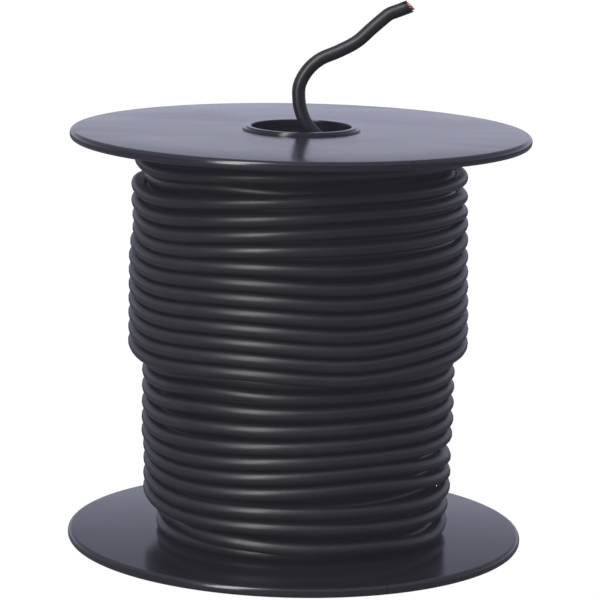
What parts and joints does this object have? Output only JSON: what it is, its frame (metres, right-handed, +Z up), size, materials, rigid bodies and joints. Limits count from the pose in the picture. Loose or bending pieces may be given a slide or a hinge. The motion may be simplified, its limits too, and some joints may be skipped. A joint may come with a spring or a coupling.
{
  "type": "wire spool",
  "caption": "Round plastic spool with two flanges, wound with insulated wire whose bare-ended tail stands out of the bore.",
  "frame": {"origin": "centre of the lower end of the bore, on the surface the spool stands on", "axes": "+Z up along the spool's axis; the tail bends towards +X; -Y is the front"},
  "size_m": [0.1142, 0.1142, 0.1369],
  "materials": {
    "black_plastic": "moulded, satin to gloss",
    "black_pvc": "extruded, satin",
    "copper": "drawn, bare"
  },
  "bodies": {
    "root": {"barrel": "black_plastic", "upper_flange": "black_plastic", "lower_flange": "black_plastic", "wire_winding": "black_pvc", "tail_insulation": "black_pvc", "strand_01": "copper", "strand_02": "copper", "strand_03": "copper", "strand_04": "copper", "strand_05": "copper", "strand_06": "copper", "strand_07": "copper", "strand_08": "copper", "strand_09": "copper", "strand_10": "copper", "strand_11": "copper", "strand_12": "copper", "strand_13": "copper", "strand_14": "copper", "strand_15": "copper", "strand_16": "copper", "strand_17": "copper", "strand_18": "copper", "strand_19": "copper"}
  },
  "joints": []
}
